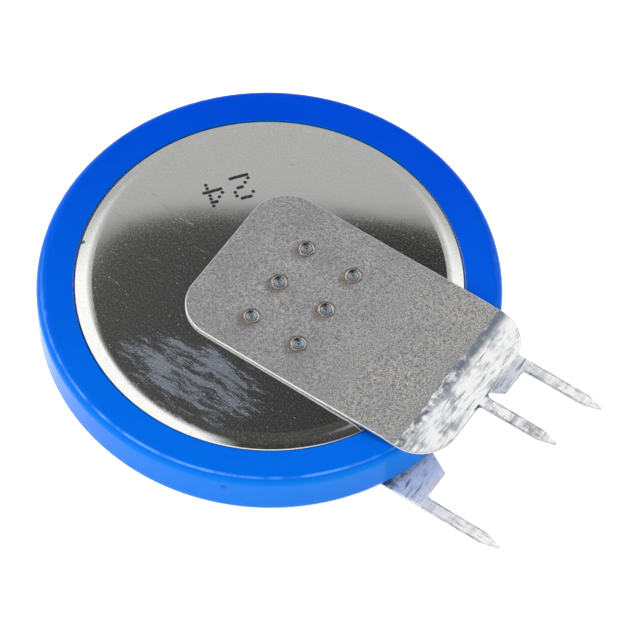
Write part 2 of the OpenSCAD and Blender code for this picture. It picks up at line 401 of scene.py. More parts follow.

# %% Wear and highlight along the ridge
# Noise breaks the line up, and the line adds shine as well as a pale tint, which is a painted
# highlight
RUB_W = 2.0
rubbed = add(tree, "ShaderNodeTexNoise", {
    "Vector": place, "Scale": per_mm(RUB_W), "Detail": 5.0, "Roughness": 0.7,
})
rubbed_more = add(tree, "ShaderNodeMapRange", {
    "Value": rubbed.outputs["Fac"],
    "From Min": 0.38, "From Max": 0.62, "To Min": 0.05, "To Max": 0.6,
})
near_side = add(tree, "ShaderNodeMapRange", {
    "Value": shaded_side.outputs["Value"],
    "From Min": -10 * MM, "From Max": 0, "To Min": 1.0, "To Max": 0.15,
})
worn_and_lit = ridge_line.outputs["Result"]
for mask in (outer, near_side, rubbed_more):
    worn_and_lit = add(tree, "ShaderNodeMath", {
        0: worn_and_lit, 1: mask.outputs["Result"],
    }, operation="MULTIPLY").outputs["Value"]
# The pale tint is a painted highlight along the bend, with some worn nicks
worn_and_lit_tint = add(tree, "ShaderNodeMix", {
    "Factor": worn_and_lit, "A": shaded_film_blue.outputs["Result"], "B": linear("64ACF6"),
}, data_type="RGBA")
gloss = add(tree, "ShaderNodeMapRange", {
    "Value": top_face.outputs["Result"], "To Min": 0.055, "To Max": 0.02,
})
ridge_gloss = add(tree, "ShaderNodeMath", {
    0: worn_and_lit, 1: 0.6, 2: gloss.outputs["Result"],
}, operation="MULTIPLY_ADD")
tree.links.new(ridge_gloss.outputs["Value"], shader.inputs["Specular IOR Level"])
print("rubbed spots", RUB_W, "mm wide")

# %% Nicks and drag lines
NICKS = [Vector((4.94, -11.43, 2.3)), Vector((-11.69, 2.77, 3.15))]
nick = add(tree, "ShaderNodeMapRange", {
    "Value": nearest_point(tree, place, NICKS),
    "From Min": 0.24 * MM, "From Max": 0.1 * MM, "To Max": 0.7,
})
nicked = add(tree, "ShaderNodeMix", {
    "Factor": nick.outputs["Result"], "A": worn_and_lit_tint.outputs["Result"], "B": linear("003E96"),
}, data_type="RGBA")
tree.links.new(nicked.outputs["Result"], shader.inputs["Base Color"])

# Drag lines run towards the axis, so their noise is fine along the angle, with 60
# features to a radian, and coarse along the radius, with one in 3.3 mm
FILM_WAVE_W = 1.6
axes = add(tree, "ShaderNodeSeparateXYZ", {"Vector": place})
angle = add(tree, "ShaderNodeMath", {
    0: axes.outputs["Y"], 1: axes.outputs["X"],
}, operation="ARCTAN2")
drag_axes = add(tree, "ShaderNodeCombineXYZ", {
    "X": angle.outputs["Value"], "Y": radius.outputs["Value"], "Z": axes.outputs["Z"],
})
drag_place = add(tree, "ShaderNodeMapping", {
    "Vector": drag_axes.outputs["Vector"], "Scale": (60.0, 300.0, 300.0),
})
drag_lines = add(tree, "ShaderNodeTexNoise", {
    "Vector": drag_place.outputs["Vector"], "Scale": 1.0, "Detail": 3.0,
})
film_wave = add(tree, "ShaderNodeTexNoise", {
    "Vector": place, "Scale": per_mm(FILM_WAVE_W), "Detail": 2.0,
})
film_bump = add(tree, "ShaderNodeBump", {
    "Height": film_wave.outputs["Fac"], "Strength": 0.5, "Distance": 0.02 * MM,
})
drag_bump = add(tree, "ShaderNodeBump", {
    "Height": drag_lines.outputs["Fac"], "Strength": 0.5, "Distance": 0.01 * MM,
    "Normal": film_bump.outputs["Normal"],
})
tree.links.new(drag_bump.outputs["Normal"], shader.inputs["Normal"])
print("made", sleeve_film.name, "with", len(tree.nodes), "nodes")

# %% [markdown]
# ## Strip steel
# The tabs are punched from nickel-plated strip with a matte, finely pitted face. The
# pits are about a tenth of a millimetre wide, wide enough to sparkle in the picture.
# Each weld leaves a bluish dish inside a raised rim, and a brown heat tint beside it; the rim and a
# ring in the dish are painted pale as painted highlights.
# The CAD model holds the dishes. Their colours could be painted on, but rings drawn by
# the distance from the nearest weld stay with the welds when a size changes.

# %% Pitted face of the strip
PIT_W = 0.08
CLOUD_W = 2.4
tab_steel, tree, shader = new_material("nickel_plated_strip_matte")
place = add(tree, "ShaderNodeTexCoord").outputs["Object"]
shader.inputs["Metallic"].default_value = 1.0
pits = add(tree, "ShaderNodeTexNoise", {
    "Vector": place, "Scale": per_mm(PIT_W), "Detail": 3.0, "Roughness": 0.7,
})
strip_tone = add(tree, "ShaderNodeMapRange", {
    "Value": pits.outputs["Fac"], "From Min": 0.33, "From Max": 0.67,
})
strip_colour = add(tree, "ShaderNodeMix", {
    "Factor": strip_tone.outputs["Result"], "A": linear("636164"), "B": linear("E3E2DF"),
}, data_type="RGBA")

# Grey clouds of random tone, with painted shade that darkens the welded end, up to about 9 mm from
# the axis
cloud = add(tree, "ShaderNodeTexNoise", {
    "Vector": place, "Scale": per_mm(CLOUD_W), "Detail": 4.0, "Roughness": 0.6,
})
axes = add(tree, "ShaderNodeSeparateXYZ", {"Vector": place})
# Painted shade: more grey cloud near the axis
shaded_end = add(tree, "ShaderNodeMapRange", {
    "Value": axes.outputs["X"],
    "From Min": 4 * MM, "From Max": 9 * MM, "To Min": 0.25, "To Max": 0.0,
}, interpolation_type="SMOOTHSTEP")
cloud_and_shade = add(tree, "ShaderNodeMath", {
    0: cloud.outputs["Fac"], 1: shaded_end.outputs["Result"],
}, operation="ADD")
cloud_share = add(tree, "ShaderNodeMapRange", {
    "Value": cloud_and_shade.outputs["Value"], "From Min": 0.4, "From Max": 1.0, "To Max": 0.6,
})
clouded_and_shaded = add(tree, "ShaderNodeMix", {
    "Factor": cloud_share.outputs["Result"],
    "A": strip_colour.outputs["Result"], "B": linear("8C8E94"),
}, data_type="RGBA")
print("pits", PIT_W, "mm wide")

# %% Find the nearest weld
# These sizes are the CAD model's own: two rows of three welds
WELD_FRONT = 0.6
WELD_ROW = 3.0
WELD_PITCH = 2.6
WELDS = [
    Vector((WELD_FRONT + row * WELD_ROW, side * WELD_PITCH, 0))
    for row in (0, 1) for side in (-1, 0, 1)
]


def nearest_weld(tree, place, shift):
    """The distance in metres from the nearest weld, each moved by a shift in mm."""
    level = add(tree, "ShaderNodeVectorMath", {0: place, 1: (1, 1, 0)}, operation="MULTIPLY")
    return nearest_point(tree, level.outputs["Vector"], [weld + shift for weld in WELDS])


print("welds at", [tuple(round(c, 1) for c in weld.xy) for weld in WELDS])

# %% Rings of the welds
# The heat tint lies beside each weld. The rings then follow from the outside in, as
# radius and soft edge in mm, share and colour, and a noise splashes their outlines
HEAT_SHIFT = Vector((-0.1, -0.36, 0))
SPLASH_W = 0.3
SPLASH_BY = 0.2 * MM
# The pale rings, C9C2B6 on the raised rim and A6B0B8 in the dish, are painted highlights
WELD_RINGS_AND_HIGHLIGHTS = (
    (0.59, 0.05, 0.6, "54483F"),
    (0.52, 0.03, 0.75, "C9C2B6"),
    (0.44, 0.03, 0.9, "4A4B4E"),
    (0.37, 0.03, 1.0, "838D96"),
    (0.25, 0.04, 0.8, "A6B0B8"),
    (0.2, 0.03, 0.7, "6C7882"),
)
heat_share = add(tree, "ShaderNodeMapRange", {
    "Value": nearest_weld(tree, place, HEAT_SHIFT),
    "From Min": 0.7 * MM, "From Max": 0.3 * MM, "To Max": 0.5,
}, interpolation_type="SMOOTHSTEP")
layer = add(tree, "ShaderNodeMix", {
    "Factor": heat_share.outputs["Result"], "A": clouded_and_shaded.outputs["Result"], "B": linear("6E5C50"),
}, data_type="RGBA")
splash = add(tree, "ShaderNodeTexNoise", {
    "Vector": place, "Scale": per_mm(SPLASH_W), "Detail": 3.0, "Roughness": 0.6,
})
weld_gap = add(tree, "ShaderNodeMath", {
    0: splash.outputs["Fac"], 1: SPLASH_BY, 2: nearest_weld(tree, place, Vector((0, 0, 0))),
}, operation="MULTIPLY_ADD").outputs["Value"]
for radius_mm, soft_mm, share, colour in WELD_RINGS_AND_HIGHLIGHTS:
    ring = add(tree, "ShaderNodeMapRange", {
        "Value": weld_gap, "To Max": share,
        "From Min": (radius_mm + soft_mm) * MM, "From Max": radius_mm * MM,
    })
    layer = add(tree, "ShaderNodeMix", {
        "Factor": ring.outputs["Result"], "A": layer.outputs["Result"], "B": linear(colour),
    }, data_type="RGBA")
tree.links.new(layer.outputs["Result"], shader.inputs["Base Color"])
print("each weld has", len(WELD_RINGS_AND_HIGHLIGHTS), "rings, the widest", WELD_RINGS_AND_HIGHLIGHTS[0][0], "mm in radius")

# %% Finish of the strip
# The melted metal of a weld is smooth, the strip round it is matte
strip_rough = add(tree, "ShaderNodeMapRange", {
    "Value": pits.outputs["Fac"],
    "From Min": 0.3, "From Max": 0.7, "To Min": 0.52, "To Max": 0.4,
})
melted = add(tree, "ShaderNodeMapRange", {
    "Value": weld_gap, "From Min": 0.62 * MM, "From Max": 0.54 * MM,
})
strip_finish = add(tree, "ShaderNodeMix", {
    "Factor": melted.outputs["Result"], "A": strip_rough.outputs["Result"], "B": 0.18,
}, data_type="FLOAT")
tree.links.new(strip_finish.outputs["Result"], shader.inputs["Roughness"])
pit_bump = add(tree, "ShaderNodeBump", {
    "Height": pits.outputs["Fac"], "Strength": 0.6, "Distance": 0.02 * MM,
})
tree.links.new(pit_bump.outputs["Normal"], shader.inputs["Normal"])
print("made", tab_steel.name, "with", len(tree.nodes), "nodes")

# %% Edges of the strip
# The punch burnished the edges, so they are bright and smooth
EDGE_NICK_W = 0.25
tab_edge, tree, shader = new_material("nickel_plated_strip_burnished_edge")
place = add(tree, "ShaderNodeTexCoord").outputs["Object"]
nicks = add(tree, "ShaderNodeTexNoise", {
    "Vector": place, "Scale": per_mm(EDGE_NICK_W), "Detail": 4.0,
})
edge_tone = add(tree, "ShaderNodeMix", {
    "Factor": nicks.outputs["Fac"], "A": linear("B9B8B6"), "B": linear("F4F3F0"),
}, data_type="RGBA")
tree.links.new(edge_tone.outputs["Result"], shader.inputs["Base Color"])
shader.inputs["Metallic"].default_value = 1.0
shader.inputs["Roughness"].default_value = 0.3
print("made", tab_edge.name)

# %% [markdown]
# ## Solder
# The ends of the tabs were dipped in solder. It freezes as a thin bright skin with
# drag streaks and dark lines of flux. The skin is white from its own fine crystals,
# so the shader is only partly metal: a full metal would mirror the room instead. The
# colour is built up in layers, each laid over the last: coat, flux, edges and smudges.

# %% The coat
DRAG_W = 0.3
PATCH_W = 0.9
solder, tree, shader = new_material("tin_solder_dipped")
coordinates = add(tree, "ShaderNodeTexCoord")
place = coordinates.outputs["Object"]
axes = add(tree, "ShaderNodeSeparateXYZ", {"Vector": place})
shader.inputs["Metallic"].default_value = 0.45

# Streaks run across the tab, and fade to grey where flux was left
drag_place = add(tree, "ShaderNodeMapping", {
    "Vector": place, "Rotation": (0, 0, math.radians(4)), "Scale": (1.0, 0.2, 1.0),
})
drag = add(tree, "ShaderNodeTexNoise", {
    "Vector": drag_place.outputs["Vector"],
    "Scale": per_mm(DRAG_W), "Detail": 5.0, "Roughness": 0.6,
})
patchy = add(tree, "ShaderNodeTexNoise", {
    "Vector": place, "Scale": per_mm(PATCH_W), "Detail": 3.0,
})
drag_and_patch = add(tree, "ShaderNodeMath", {
    0: patchy.outputs["Fac"], 1: 0.7, 2: drag.outputs["Fac"],
}, operation="MULTIPLY_ADD")
bright = add(tree, "ShaderNodeMapRange", {
    "Value": drag_and_patch.outputs["Value"], "From Min": 0.68, "From Max": 0.86,
})
thin_coat = add(tree, "ShaderNodeMix", {
    "Factor": bright.outputs["Result"], "A": linear("A2A6AC"), "B": linear("EEEEEF"),
}, data_type="RGBA")

# The lower tab is painted whiter, as painted light against the cell's shadow and the blue light
# from the sleeve. It lies below 1 mm
lit_lower_tab = add(tree, "ShaderNodeMapRange", {
    "Value": axes.outputs["Z"], "From Min": 2 * MM, "From Max": 1 * MM, "To Max": 0.5,
})
coat_and_light = add(tree, "ShaderNodeMix", {
    "Factor": lit_lower_tab.outputs["Result"],
    "A": thin_coat.outputs["Result"], "B": linear("FFFDF8"),
}, data_type="RGBA")
print("solder streaks", DRAG_W, "mm wide")

# %% Lines of flux
# Fine dark lines: across the tab, and along each pin, which starts at PIN_ROOT
PIN_ROOT = 13.4
FLUX_W = 0.16
on_pin = add(tree, "ShaderNodeMath", {
    0: axes.outputs["X"], 1: PIN_ROOT * MM,
}, operation="GREATER_THAN")
line_stretch = add(tree, "ShaderNodeMix", {
    "Factor": on_pin.outputs["Value"], "A": (1.0, 0.12, 1.0), "B": (0.16, 1.0, 1.0),
}, data_type="VECTOR")
line_place = add(tree, "ShaderNodeVectorMath", {
    0: place, 1: line_stretch.outputs["Result"],
}, operation="MULTIPLY")
fleck_noise = add(tree, "ShaderNodeTexNoise", {
    "Vector": line_place.outputs["Vector"],
    "Scale": per_mm(FLUX_W), "Detail": 4.0, "Roughness": 0.7, "Distortion": 0.3,
})
flecks = add(tree, "ShaderNodeMapRange", {
    "Value": fleck_noise.outputs["Fac"], "From Min": 0.45, "From Max": 0.32, "To Max": 0.85,
})
lined = add(tree, "ShaderNodeMix", {
    "Factor": flecks.outputs["Result"], "A": coat_and_light.outputs["Result"], "B": linear("62676E"),
}, data_type="RGBA")
print("flux lines", FLUX_W, "mm wide")

# %% Dark cut edges
# The coat is drawn darker where the surface leans, on the cut edges
LEAN_START = 0.93
lean = add(tree, "ShaderNodeSeparateXYZ", {"Vector": coordinates.outputs["Normal"]})
upright = add(tree, "ShaderNodeMath", {0: lean.outputs["Z"]}, operation="ABSOLUTE")
cut_edge = add(tree, "ShaderNodeMapRange", {
    "Value": upright.outputs["Value"], "From Min": LEAN_START, "From Max": 0.6,
})
print("edges darken past", round(math.degrees(math.acos(LEAN_START))), "degrees")

# %% Dark sides of the pins
# Flux also shows in a ragged band along both sides of each pin, which is found by the
# distance from the middle line of the nearest pin
PIN_W = 0.75
PIN_PITCH = 10.16
SIDE_GRAIN_W = 0.25
RAGGED_BY = 0.3 * MM
across = add(tree, "ShaderNodeMath", {0: axes.outputs["Y"]}, operation="ABSOLUTE")
past_outer = add(tree, "ShaderNodeMath", {
    0: across.outputs["Value"], 1: PIN_PITCH / 2 * MM,
}, operation="SUBTRACT")
from_outer = add(tree, "ShaderNodeMath", {
    0: past_outer.outputs["Value"],
}, operation="ABSOLUTE")
from_middle = add(tree, "ShaderNodeMath", {
    0: across.outputs["Value"], 1: from_outer.outputs["Value"],
}, operation="MINIMUM")
side_place = add(tree, "ShaderNodeVectorMath", {
    0: place, 1: (0.4, 1.0, 1.0),
}, operation="MULTIPLY")
side_noise = add(tree, "ShaderNodeTexNoise", {
    "Vector": side_place.outputs["Vector"],
    "Scale": per_mm(SIDE_GRAIN_W), "Detail": 4.0, "Roughness": 0.7,
})
side_reach = add(tree, "ShaderNodeMath", {
    0: side_noise.outputs["Fac"], 1: RAGGED_BY, 2: from_middle.outputs["Value"],
}, operation="MULTIPLY_ADD")
pin_side = add(tree, "ShaderNodeMapRange", {
    "Value": side_reach.outputs["Value"],
    "From Min": (PIN_W / 2 + 0.01) * MM, "From Max": (PIN_W / 2 + 0.12) * MM,
})
in_reach = add(tree, "ShaderNodeMath", {
    0: from_middle.outputs["Value"], 1: PIN_W * MM,
}, operation="LESS_THAN")
side_band = pin_side.outputs["Result"]
for mask in (in_reach, on_pin):
    side_band = add(tree, "ShaderNodeMath", {
        0: side_band, 1: mask.outputs["Value"],
    }, operation="MULTIPLY").outputs["Value"]
dark_edges_and_pin_sides = add(tree, "ShaderNodeMath", {
    0: cut_edge.outputs["Result"], 1: side_band,
}, operation="MAXIMUM")
edge_patch = add(tree, "ShaderNodeMapRange", {
    "Value": patchy.outputs["Fac"],
    "From Min": 0.4, "From Max": 0.6, "To Min": 0.5, "To Max": 1.0,
})
edge_darkening = add(tree, "ShaderNodeMath", {
    0: dark_edges_and_pin_sides.outputs["Value"], 1: edge_patch.outputs["Result"],
}, operation="MULTIPLY")
edged = add(tree, "ShaderNodeMix", {
    "Factor": edge_darkening.outputs["Value"], "A": lined.outputs["Result"], "B": linear("4C5056"),
}, data_type="RGBA")
print("dark sides on pins", PIN_W, "mm wide")

# %% Smudges where the dip ends
# A blue-grey band up to 11.4 mm from the axis, gone by 12 mm, strongest at the far corner
SMUDGE_FULL = 11.4
SMUDGE_GONE = 12.0
SMUDGE_W = 0.5
band = add(tree, "ShaderNodeMapRange", {
    "Value": axes.outputs["X"], "From Min": SMUDGE_GONE * MM, "From Max": SMUDGE_FULL * MM,
}, interpolation_type="SMOOTHSTEP")
smudge_noise = add(tree, "ShaderNodeTexNoise", {
    "Vector": place, "Scale": per_mm(SMUDGE_W), "Detail": 5.0, "Roughness": 0.7,
})
far_more = add(tree, "ShaderNodeMapRange", {
    "Value": axes.outputs["Y"], "From Min": -4 * MM, "From Max": 4 * MM, "To Max": 0.14,
})
smudge_sum = add(tree, "ShaderNodeMath", {
    0: smudge_noise.outputs["Fac"], 1: far_more.outputs["Result"],
}, operation="ADD")
smudge_spots = add(tree, "ShaderNodeMapRange", {
    "Value": smudge_sum.outputs["Value"], "From Min": 0.42, "From Max": 0.6,
})
smudge = add(tree, "ShaderNodeMath", {
    0: smudge_spots.outputs["Result"], 1: band.outputs["Result"],
}, operation="MULTIPLY")
smudged = add(tree, "ShaderNodeMix", {
    "Factor": smudge.outputs["Value"], "A": edged.outputs["Result"], "B": linear("6A747E"),
}, data_type="RGBA")
tree.links.new(smudged.outputs["Result"], shader.inputs["Base Color"])

# Bright solder is the smoother, and the streaks stand out a little
solder_rough = add(tree, "ShaderNodeMapRange", {
    "Value": bright.outputs["Result"], "To Min": 0.5, "To Max": 0.34,
})
tree.links.new(solder_rough.outputs["Result"], shader.inputs["Roughness"])
drag_bump = add(tree, "ShaderNodeBump", {
    "Height": drag.outputs["Fac"], "Strength": 0.6, "Distance": 0.03 * MM,
})
tree.links.new(drag_bump.outputs["Normal"], shader.inputs["Normal"])
print("made", solder.name, "with", len(tree.nodes), "nodes")

# %% [markdown]
# ## The hidden pieces
# Inside the sleeve are the can, the gasket and the layers of the cell: a steel foil,
# the black cathode, a felt and the lithium disc. They only show when the cell is
# opened up, so one function with a single noise makes all of them, each from its own
# colours, grain and roughness.

# %% One function for grained materials


def grained(name, dark, light, size, roughness, metallic=0.0, relief=0.01):
    """A material whose colour and relief follow one noise with grains size mm wide."""
    material, tree, shader = new_material(name)
    place = add(tree, "ShaderNodeTexCoord").outputs["Object"]
    grains = add(tree, "ShaderNodeTexNoise", {
        "Vector": place, "Scale": per_mm(size), "Detail": 4.0,
    })
    tone = add(tree, "ShaderNodeMix", {
        "Factor": grains.outputs["Fac"], "A": linear(dark), "B": linear(light),
    }, data_type="RGBA")
    bump = add(tree, "ShaderNodeBump", {
        "Height": grains.outputs["Fac"], "Strength": 0.6, "Distance": relief * MM,
    })
    tree.links.new(tone.outputs["Result"], shader.inputs["Base Color"])
    tree.links.new(bump.outputs["Normal"], shader.inputs["Normal"])
    shader.inputs["Roughness"].default_value = roughness
    shader.inputs["Metallic"].default_value = metallic
    print("made", name, "with grains", size, "mm wide")
    return material


# %% Finish the inner pieces
FINISHES = {
    # Drawn steel under nickel is a dull mirror
    "positive_can": grained("nickel_plated_steel_drawn", "B9B8B5", "CFCECB", 0.4, 0.22, 1.0, 0.004),
    # Moulded polypropylene is milky and satin
    "gasket": grained("polypropylene_moulded", "D9DAD2", "E8E8E1", 0.5, 0.45),
    # Stainless foil is a darker, even grey
    "cathode_collector": grained("stainless_steel_foil", "8E8F92", "A6A7A9", 0.2, 0.35, 1.0, 0.004),
    # Manganese dioxide pressed with carbon is black, gritty and quite matte
    "cathode_pellet": grained(
        "manganese_dioxide_pressed", "141312", "2A2826", 0.15, 0.85, 0.0, 0.03,
    ),
    # Felted fibres are white without any shine
    "separator": grained("polypropylene_felt", "E6E6E0", "F5F5F0", 0.08, 0.9, 0.0, 0.02),
    # Lithium is soft, so its pale grey face is full of shallow dents
    "lithium_disc": grained("lithium_foil", "A9A8A4", "D3D2CE", 1.2, 0.42, 1.0, 0.02),
    # The two that show were made above
    "negative_cap": cap_steel,
    "insulating_sleeve": sleeve_film,
}
for name, material in FINISHES.items():
    mesh = nodes[name].data
    mesh.materials.clear()
    mesh.materials.append(material)
print("finished", len(FINISHES), "CAD nodes")

# %% [markdown]
# ## Tabs with broken edges
# A punched strip never has a razor edge: the punch rolls one side over and leaves a
# fine burr on the other, and both catch the light. The CAD tabs have sharp edges. A
# Bevel modifier would also cut into the small dishes of the welds, so each tab is
# copied, cleaned into flat faces and given a bevel on the chosen edges only.

# %% Copy a tab
WELD_KEEP = 0.75
MERGE_GAP = 0.0005 * MM
FLAT_ANGLE = math.radians(0.5)
SHARP_ANGLE = math.radians(50)


def merged_copy(node_name):
    """The merged mesh of a CAD node, with flat areas dissolved to single faces."""
    bm = bmesh.new()
    bm.from_mesh(nodes[node_name].data)
    bmesh.ops.remove_doubles(bm, verts=bm.verts, dist=MERGE_GAP)
    bmesh.ops.dissolve_limit(bm, angle_limit=FLAT_ANGLE, verts=bm.verts, edges=bm.edges)
    return bm


def near_weld(vertex):
    """True where a vertex belongs to a weld spot, whose own form is kept."""
    spot = Vector((vertex.co.x, vertex.co.y, 0)) / MM
    return min((spot - weld).length for weld in WELDS) < WELD_KEEP


def sharp_edges(bm):
    """The edges of the strip that get broken: all sharp ones away from the welds."""
    return [
        edge for edge in bm.edges
        if edge.is_manifold and edge.calc_face_angle() > SHARP_ANGLE
        and not any(near_weld(vertex) for vertex in edge.verts)
    ]


tab_meshes = {name: merged_copy(name) for name in ("negative_tab", "positive_tab")}
for name, bm in tab_meshes.items():
    print(name, "has", len(bm.faces), "faces and", len(sharp_edges(bm)), "sharp edges")

# %% Room for the solder
# The strip gets thinner between SINK_START and SINK_END, by SINK_DEPTH on each face, so
# that the solder over it ends at the tab's size in the CAD model
STRIP_T = 0.2
SINK_START = 10.3
SINK_END = 10.9
SINK_CUTS = 5
SINK_DEPTH = 0.045
ON_PLANE = 0.0001 * MM


def smooth_step(value, start, end):
    """Rises smoothly from 0 at start to 1 at end."""
    share = min(1.0, max(0.0, (value - start) / (end - start)))
    return share * share * (3 - 2 * share)


def sink_end(bm):
    """Thins the end of a tab a little on both faces, to make room for the solder."""
    for cut in range(SINK_CUTS):
        x = SINK_START + (SINK_END - SINK_START) * cut / (SINK_CUTS - 1)
        bmesh.ops.bisect_plane(
            bm, geom=bm.verts[:] + bm.edges[:] + bm.faces[:], dist=ON_PLANE,
            plane_co=(x * MM, 0, 0), plane_no=(1, 0, 0),
        )
    end = [vertex for vertex in bm.verts if vertex.co.x > SINK_START * MM]
    heights = [vertex.co.z for vertex in end if vertex.co.x > SINK_END * MM]
    middle = (min(heights) + max(heights)) / 2
    for vertex in end:
        sunk = smooth_step(vertex.co.x / MM, SINK_START, SINK_END)
        thinner = SINK_DEPTH / (STRIP_T / 2) * sunk
        vertex.co.z = middle + (vertex.co.z - middle) * (1 - thinner)


print("ends thinned from", STRIP_T, "to", round(STRIP_T - 2 * SINK_DEPTH, 3), "mm")

# %% Break the edges and dress the strips
EDGE_BREAK = 0.055 * MM
LEAN_LEAST = 0.2
LEAN_MOST = 0.97


def place_piece(bm, name, material, body="root"):
    """Makes an object of a bmesh, with its place in its mesh, riding on a body."""
    mesh = bpy.data.meshes.new(name)
    bm.to_mesh(mesh)
    bm.free()
    mesh.materials.append(material)
    piece = bpy.data.objects.new(name, mesh)
    bpy.context.scene.collection.objects.link(piece)
    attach(piece, body)
    return piece


def leans(face):
    """True for a face of a broken edge: neither flat nor upright, and not at a weld."""
    slanted = LEAN_LEAST < abs(face.normal.z) < LEAN_MOST
    return slanted and not any(near_weld(vertex) for vertex in face.verts)


full_ends = {}
for node_name, bm in tab_meshes.items():
    bmesh.ops.bevel(
        bm, geom=sharp_edges(bm), offset=EDGE_BREAK, affect="EDGES", segments=2,
        profile=0.5, material=-1,
    )
    full_ends[node_name] = bm.copy()
    sink_end(bm)
    bm.normal_update()
    for face in bm.faces:
        face.material_index = 1 if leans(face) else 0
    piece = place_piece(bm, node_name + "_strip", tab_steel)
    piece.data.materials.append(tab_edge)
    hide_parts(node_name)
    print(piece.name, "has", len(piece.data.polygons), "faces")

# %% [markdown]
# ## Solder skin
# The solder is a few hundredths of a millimetre thick. It starts at a ragged line, runs
# in drag streaks across the tab and along each pin, and ends in soft lumps. A bump in
# the material would leave the outline straight, so the skin is a mesh: the full end of
# each tab is rebuilt with even faces by the voxel remesher, and every point then moves
# by a sum of smooth noises, never past the tab's own size in the CAD model.

# %% Surface of the solder
# Measured in mm from the face of the CAD tab, and negative inside it. The strip under the
# solder was sunk by 0.045, so SKIN leaves a coat of about 0.03, and SUNK hides the skin
# inside the strip where the dip hasn't started
DIP_START = 10.95
DIP_EDGE = 0.35
SUNK = -0.08
SKIN = -0.014


def skin_level(point):
    """How far the solder's surface lies from the CAD tab's at a point, all in mm."""
    # What divides a coordinate is the width of a noise, and what multiplies a noise is
    # its height
    x, y, z = point
    waver = 0.12 * noise.noise(Vector((3.1, y / 0.9, z)))
    ragged = DIP_START + waver + 0.05 * noise.noise(Vector((y / 0.2, 7, z)))
    wet = smooth_step(x, ragged, ragged + DIP_EDGE)
    if x < PIN_ROOT:
        streak = noise.noise(Vector((x / 0.22, y / 0.9, z)))
    else:
        streak = noise.noise(Vector((x / 0.9, y / 0.18, z)))
    lump = noise.noise(Vector((x / 0.6, y / 0.6, z / 0.6 + 5)))
    grit = noise.noise(Vector((x / 0.11, y / 0.11, z / 0.11 + 9)))
    coat = SKIN + 0.009 * streak + 0.008 * lump + 0.004 * grit
    return min(0.0, SUNK + (coat - SUNK) * wet)


print("solder starts", DIP_START, "mm from the axis, on average")

# %% Dip the ends in solder
VOXEL = 0.055 * MM
CUT_BACK = 0.45


def even_end(node_name):
    """The outer end of a tab, cut off, closed and remeshed into even faces."""
    bm = full_ends[node_name]
    cut = bmesh.ops.bisect_plane(
        bm, geom=bm.verts[:] + bm.edges[:] + bm.faces[:], dist=ON_PLANE,
        plane_co=((DIP_START - CUT_BACK) * MM, 0, 0), plane_no=(-1, 0, 0), clear_outer=True,
    )
    rim = [part for part in cut["geom_cut"] if isinstance(part, bmesh.types.BMEdge)]
    bmesh.ops.contextual_create(bm, geom=rim)
    bmesh.ops.recalc_face_normals(bm, faces=bm.faces)
    rough_mesh = bpy.data.meshes.new("dip")
    bm.to_mesh(rough_mesh)
    bm.free()
    rough = bpy.data.objects.new("dip", rough_mesh)
    bpy.context.scene.collection.objects.link(rough)
    remesh = rough.modifiers.new("even mesh", "REMESH")
    remesh.mode = "VOXEL"
    remesh.voxel_size = VOXEL
    graph = bpy.context.evaluated_depsgraph_get()
    even = bpy.data.meshes.new_from_object(rough.evaluated_get(graph))
    bpy.data.objects.remove(rough)
    return even


for node_name in full_ends:
    bm = bmesh.new()
    bm.from_mesh(even_end(node_name))
    bmesh.ops.recalc_face_normals(bm, faces=bm.faces)
    bm.normal_update()
    open_edges = sum(1 for edge in bm.edges if not edge.is_manifold)
    for vertex in bm.verts:
        vertex.co += vertex.normal * skin_level(vertex.co / MM) * MM
    piece = place_piece(bm, node_name.replace("tab", "solder"), solder)
    piece.data.shade_smooth()
    print(piece.name, "has", len(piece.data.polygons), "faces and", open_edges, "open edges")

# %% [markdown]
# ## Ink marks
# The cap carries two printed digits, fired as drops of black ink by a jet printer.
# The drops of a crosswise bar run together, and those of an upright stay apart. The
# digits here are plain numbers. A text object would give smooth strokes, so each drop
# is made by itself, as a very flat cone, from a grid of marks seven rows high.

# %% Black ink
# Dried ink is nearly black, uneven, and glossier than paper would leave it
INK_CLOUD_W = 0.1
ink, tree, shader = new_material("jet_ink_black")
place = add(tree, "ShaderNodeTexCoord").outputs["Object"]
ink_cloud = add(tree, "ShaderNodeTexNoise", {
    "Vector": place, "Scale": per_mm(INK_CLOUD_W), "Detail": 2.0,
})
ink_tone = add(tree, "ShaderNodeMix", {
    "Factor": ink_cloud.outputs["Fac"], "A": linear("060809"), "B": linear("181C20"),
}, data_type="RGBA")
tree.links.new(ink_tone.outputs["Result"], shader.inputs["Base Color"])
shader.inputs["Roughness"].default_value = 0.35
print("made", ink.name)

# %% Print two digits with drops of ink
DIGITS = {
    "2": ("01110", "10001", "00001", "00110", "01000", "10000", "11111"),
    "4": ("00010", "00110", "01010", "10010", "11111", "00010", "00010"),
}
PRINTED = "24"
PRINT_START = Vector((-3.72, 3.98))
READING = math.radians(-127)
DOT_PITCH = 0.235
GLYPH_STEP = 1.62
DROP_R = 0.105
DROP_H = 0.006
DROP_TOP = 0.6
UNSTEADY = 0.02
cap_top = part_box("negative_cap")[1].z / MM
along = Vector((math.cos(READING), math.sin(READING)))
upward = Vector((-along.y, along.x))


def drop(bm, number, column, row):
    """Adds one drop of ink at a column and row of a digit's grid of marks."""
    jitter = UNSTEADY * noise.noise(Vector((column, row, number + 0.5)))
    across = along * (number * GLYPH_STEP + column * DOT_PITCH + jitter)
    at = PRINT_START + across - upward * (row * DOT_PITCH + jitter)
    matrix = Matrix.Translation(Vector((at.x, at.y, cap_top + DROP_H / 2)) * MM)
    bmesh.ops.create_cone(
        bm, cap_ends=True, segments=14, radius1=DROP_R * MM,
        radius2=DROP_TOP * DROP_R * MM, depth=DROP_H * MM, matrix=matrix,
    )


